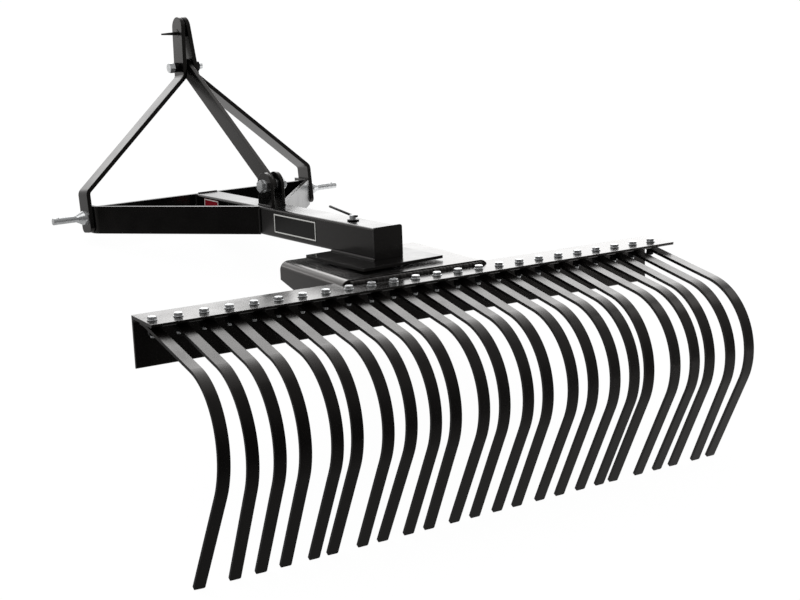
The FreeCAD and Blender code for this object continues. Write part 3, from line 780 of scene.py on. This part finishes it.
across_mast(hexagon(MAST_BOLT_FLATS, MAST_NUT, 0), "mast_bolt_head", sleeve_face, LEFT,
            ZINC)
across_mast(disc(SLEEVE_RADIUS, SLEEVE, 0, SLEEVE_ROUNDING), "mast_bolt_sleeve", left_face, LEFT,
            OXIDE)
across_mast(hexagon(MAST_BOLT_FLATS, MAST_NUT, 0), "mast_bolt_nut", -left_face, RIGHT,
            OXIDE)
across_mast(disc(SHANK_RADIUS, bolt_high.x - sleeve_face, 0, SHANK_ROUNDING), "mast_bolt_shank",
            sleeve_face, RIGHT, ZINC)
for side_name, facing in (("left", LEFT), ("right", RIGHT)):
    spacer = disc(SLEEVE_RADIUS, SPACER[1] - SPACER[0], 0, SPACER_ROUNDING)
    across_mast(spacer, "mast_bolt_spacer_" + side_name, facing * SPACER[0], facing,
                OXIDE)
print("mast bolt length", round(bolt_high.x - bolt_low.x, 4))

# %% [markdown]
# ## Plate and sticker
# A blank plate lies on the boom's left side, with a pale line printed round it, and a small blank
# sticker sits further forward. The line could be a bent tube or an image, but the first would
# stand off the film and the second would need a file. Each film is one thin slab whose front face
# is inset twice: the ring between the two insets carries the printed line.

# %% Model the plate and the sticker
FILM = 0.0004                # thickness
PLATE = ((0.299, 0.030), (0.479, 0.077))     # lower rear and upper front corner, along Y and Z
STICKER = ((0.742, 0.056), (0.813, 0.078))


def framed_film(name, low, high, margin, line, field):
    """Thin film on the boom's left side between two corners, with a printed line near its rim."""
    size = Vector((FILM, high[0] - low[0], high[1] - low[1]))
    centre = Vector((boom_low.x - FILM / 2, (low[0] + high[0]) / 2, (low[1] + high[1]) / 2))
    film = add_shape(bpy.ops.mesh.primitive_cube_add, size=1, location=centre, scale=size)
    set_in_mesh(film)
    film.name = name
    film.data.materials.append(field)
    film.data.materials.append(PALE_PRINT)
    edit(True)
    pick("faces", lambda face: face.normal.x < -FACING)
    bpy.ops.mesh.inset(thickness=margin, depth=0)
    bpy.ops.mesh.inset(thickness=line, depth=0)
    bpy.ops.mesh.select_all(action="DESELECT")
    edit(False)
    outer_y, outer_z = size.y / 2 - margin, size.z / 2 - margin
    inner_y, inner_z = outer_y - line, outer_z - line
    for face in film.data.polygons:
        off = face.center - centre
        on_front = face.normal.x < -FACING
        in_outer = abs(off.y) < outer_y and abs(off.z) < outer_z
        in_inner = abs(off.y) < inner_y / 2 and abs(off.z) < inner_z / 2
        if on_front and in_outer and not in_inner:
            face.material_index = 1
    place(film, HITCH)
    return finish_piece(film, None, "hitch", FLAT_CREASE)


plate = framed_film("boom_plate", *PLATE, margin=0.002, line=0.0028, field=BLACK_FILM)
sticker = framed_film("boom_sticker", *STICKER, margin=0.0005, line=0.0025, field=RED_FILM)
for film in (plate, sticker):
    printed = [face for face in film.data.polygons if face.material_index == 1]
    print(film.name, "faces", len(film.data.polygons), "printed", len(printed))

# %% [markdown]
# ## Floor
# The floor is a plain pale sheet that runs out of sight under a white backdrop. For the eye both
# are white, and the rake's shadow stays on the floor. Black gloss shows only what it mirrors, so
# what gloss meets matters most. A real studio would hang cards and flags round the rake; here the
# floor and the backdrop are asked which kind of ray meets them, and for gloss the sheet carries a
# painted reflection: a glow more than white ahead on the right, and dark behind on the left.

# %% Sums for shaders
def between(tree, value, low, high, at_low, at_high):
    """Straight blend of two levels while value runs from low to high, and level beyond them."""
    return add(tree, "ShaderNodeMapRange",
               {0: value, 1: low, 2: high, 3: at_low, 4: at_high}).outputs[0]


def combine(tree, operation, first, second):
    """One sum on two numbers."""
    return add(tree, "ShaderNodeMath", {0: first, 1: second}, operation=operation).outputs[0]


def power_of_e(tree, value):
    """Exponential, for light that falls off evenly."""
    return add(tree, "ShaderNodeMath", {0: value}, operation="EXPONENT").outputs[0]


def choose(tree, factor, at_zero, at_one):
    """First level where the factor is 0, second where it is 1."""
    return add(tree, "ShaderNodeMix", {0: factor, 2: at_zero, 3: at_one}).outputs[0]


def rays(tree):
    """Two factors: 1 for rays that the eye sees straight or through glass, and 1 for gloss."""
    path = add(tree, "ShaderNodeLightPath").outputs
    seen = combine(tree, "MAXIMUM", path["Is Camera Ray"], path["Is Transmission Ray"])
    return seen, path["Is Glossy Ray"]


print("shader sums:", [helper.__name__ for helper in (between, combine, power_of_e, choose)])

# %% [markdown]
# The floor's own shading is matte. The share of plain glow that the eye gets on top hides the
# grain of the sheet and the lamps' falloff but leaves a soft shadow.

# %% Pale floor
FLOOR_SIZE = 60
FLOOR_GRAIN_MM = 30
# Painted reflection: the glow that gloss sees on the floor climbs this fast to the right and ahead
PAINTED_GLOW_SLOPE = (1.2, 0.8, 0)    # the floor brightens this fast, per metre, to the right and ahead
LEVEL_AT_RAKE = math.log(0.41)
DIMMEST = 0.03
BRIGHTEST = 2.4
GLOW_SEEN = 1.04             # the level of the glow that the eye gets
GLOW_SHARE = 0.93            # its share of what the eye gets, the rest being matte


def pale_floor():
    """Matte sheet that is white to the eye and carries a painted reflection for gloss."""
    material, tree, where = new_material("pale_matte_floor")
    material.cycles.emission_sampling = "NONE"
    grain = noise(tree, where, FLOOR_GRAIN_MM, 2.0)
    tint = ramp(tree, grain, colour("f1f1f0"), colour("f6f6f5"), low=0.0, high=1.0)
    matte = add(tree, "ShaderNodeBsdfDiffuse", {"Color": tint})
    # Painted reflection: for gloss rays the floor glows, dim near the rake and brighter to the right and ahead
    climb = add(tree, "ShaderNodeVectorMath", {0: where, 1: PAINTED_GLOW_SLOPE}, operation="DOT_PRODUCT")
    off_camera_level = power_of_e(tree, combine(tree, "ADD", climb.outputs["Value"], LEVEL_AT_RAKE))
    painted_reflection = combine(tree, "MINIMUM", combine(tree, "ADD", off_camera_level, DIMMEST), BRIGHTEST)
    seen, gloss = rays(tree)
    glow = add(tree, "ShaderNodeEmission", {"Color": colour(WHITE),
                                            "Strength": choose(tree, gloss, GLOW_SEEN, painted_reflection)})
    share = combine(tree, "MAXIMUM", combine(tree, "MULTIPLY", seen, GLOW_SHARE), gloss)
    show(tree, add(tree, "ShaderNodeMixShader",
                   {0: share, 1: matte.outputs[0], 2: glow.outputs[0]}))
    return material


floor = add_shape(bpy.ops.mesh.primitive_plane_add, size=FLOOR_SIZE)
floor.name = "floor"
floor.data.materials.append(pale_floor())
print("floor:", FLOOR_SIZE, "m wide")

# %% [markdown]
# ## Backdrop
# The world is the backdrop. To the eye it is plain white. For gloss it carries a painted reflection:
# a wide glow low ahead that is brightest on the right and fades upward, and a dim side that fades
# to nearly black behind. An image of a real studio could do this, but it would be a file; here a
# ramp holds the levels round the horizon. A turn is measured from straight ahead to the right, in
# degrees.

# %% Levels round the horizon
# Painted reflection: the glow levels that gloss sees round the horizon
WALL = [(-180, 0.01), (-110, 0.02), (-20, 0.11), (-6, 0.22), (30, 0.66), (42, 0.79),
        (56, 1.0), (66, 0.2), (76, 0.05), (180, 0.0)]
SIDES = [(-180, 0.03), (-110, 0.08), (-30, 0.5), (115, 0.5), (162, 0.04), (180, 0.03)]


def levels(tree, factor, stops):
    """Grey level that runs straight from stop to stop, each a turn in degrees and a level."""
    node = add(tree, "ShaderNodeValToRGB", {0: factor})
    stops = [(turn / 360 + 0.5, grey(level)) for turn, level in stops]
    for element, (position, tint) in zip(node.color_ramp.elements, (stops[0], stops[-1])):
        element.position = position
        element.color = tint
    for position, tint in stops[1:-1]:
        node.color_ramp.elements.new(position).color = tint
    return node.outputs["Color"]


print("stops of the wall:", len(WALL), "and of the sides:", len(SIDES))

# %% [markdown]
# The wall's painted glow falls off exponentially with height, as light from low lamps would, and
# is held to a highest level near the floor. The painted sides reach higher and fade only overhead,
# where a dim ceiling is painted. All other light from the backdrop is one plain level that fills
# the shadows.

# %% World
FADE_START = 2.14            # natural logarithm of the wall's gain at the horizon
FADE_RATE = -3.1
WALL_GAIN = 5.0
CEILING = (0.74, 0.92)       # heights, from 0 at the horizon to 1 overhead
CEILING_LEVEL = 0.4
ROOM_LEVEL = 0.6

world = bpy.data.worlds.new("studio")
bpy.context.scene.world = world
world.use_nodes = True
sky = world.node_tree
sky.nodes.clear()
toward = add(sky, "ShaderNodeTexCoord").outputs["Generated"]
parts = add(sky, "ShaderNodeSeparateXYZ", {0: toward}).outputs
height = parts["Z"]
round_about = between(sky, combine(sky, "ARCTAN2", parts["X"], parts["Y"]),
                      -math.pi, math.pi, 0.0, 1.0)

# Painted reflection: gloss rays see the wall and side glow, other rays a plain room level
fade = power_of_e(sky, combine(sky, "ADD", combine(sky, "MULTIPLY", height, FADE_RATE),
                               FADE_START))
wall = combine(sky, "MULTIPLY", levels(sky, round_about, WALL),
               combine(sky, "MINIMUM", fade, WALL_GAIN))
sides = combine(sky, "MULTIPLY", levels(sky, round_about, SIDES),
                between(sky, height, *CEILING, 1.0, CEILING_LEVEL))
seen, gloss = rays(sky)
off_camera_level = choose(sky, gloss, ROOM_LEVEL, combine(sky, "MAXIMUM", wall, sides))
backdrop = add(sky, "ShaderNodeBackground", {"Color": colour(WHITE),
                                             "Strength": choose(sky, seen, off_camera_level, 1.0)})
add(sky, "ShaderNodeOutputWorld", {"Surface": backdrop.outputs[0]})
print("world nodes:", len(sky.nodes))

# %% [markdown]
# ## Soft boxes
# A large soft box hangs above the rake and lights it from the top, and a small one high on its
# right puts a gleam on the bows of the last tines. Point lamps would leave hard dots in the
# gloss, so both are area lamps. Their power follows from the brightness wanted and their area.

# %% Soft boxes
def soft_box(name, position, target, width, height, strength):
    """Rectangular lamp that faces target. strength is its surface's brightness, 1 being white."""
    lamp = bpy.data.lights.new(name, "AREA")
    lamp.shape = "RECTANGLE"
    lamp.size = width
    lamp.size_y = height
    lamp.energy = strength * math.pi * width * height
    box = bpy.data.objects.new(name, lamp)
    bpy.context.collection.objects.link(box)
    position = Vector(position)
    turn = (position - Vector(target)).to_track_quat("Z", "Y").to_matrix().to_4x4()
    box.matrix_world = Matrix.Translation(position) @ turn
    return box


soft_box("top_panel", (-1.2, 0.6, 3.0), (0, 0, 0.3), width=2.4, height=2.0, strength=1.6)
soft_box("right_panel", (2.5, -0.2, 2.4), (0.4, -0.5, 0.3), width=0.9, height=0.75, strength=1.2)
bpy.context.scene.view_settings.view_transform = "Standard"
print("watts:", [round(lamp.energy, 1) for lamp in bpy.data.lights])

# %% [markdown]
# ## Camera
# The camera stands behind and to the left of the rake, looks forward along the hitch's own axes
# and a little down, and is held almost level with them. It could be aimed with a constraint, but
# three plain angles on the hitch's axes are easier to adjust one at a time. A small shift of the
# lens places the rake in the frame without tilting its uprights.

# %% Camera
EYE = Vector((-1.6639, -2.3050, 0.5686))
YAW, DOWN, ROLL = math.radians(35.04), math.radians(11.66), math.radians(-2.26)
LENS_MM = 63.63
LENS_SHIFT = (0.0116, -0.0231)

lens = bpy.data.cameras.new("camera")
lens.lens = LENS_MM
lens.shift_x, lens.shift_y = LENS_SHIFT
camera = bpy.data.objects.new("camera", lens)
bpy.context.collection.objects.link(camera)
aim = Matrix.Rotation(-YAW, 4, "Z") @ Matrix.Rotation(math.pi / 2 - DOWN, 4, "X")
camera.matrix_world = (HITCH @ Matrix.Translation(EYE) @ aim
                       @ Matrix.Rotation(ROLL, 4, "Z"))
bpy.context.scene.camera = camera
print("camera stands at", [round(part, 2) for part in camera.matrix_world.translation])
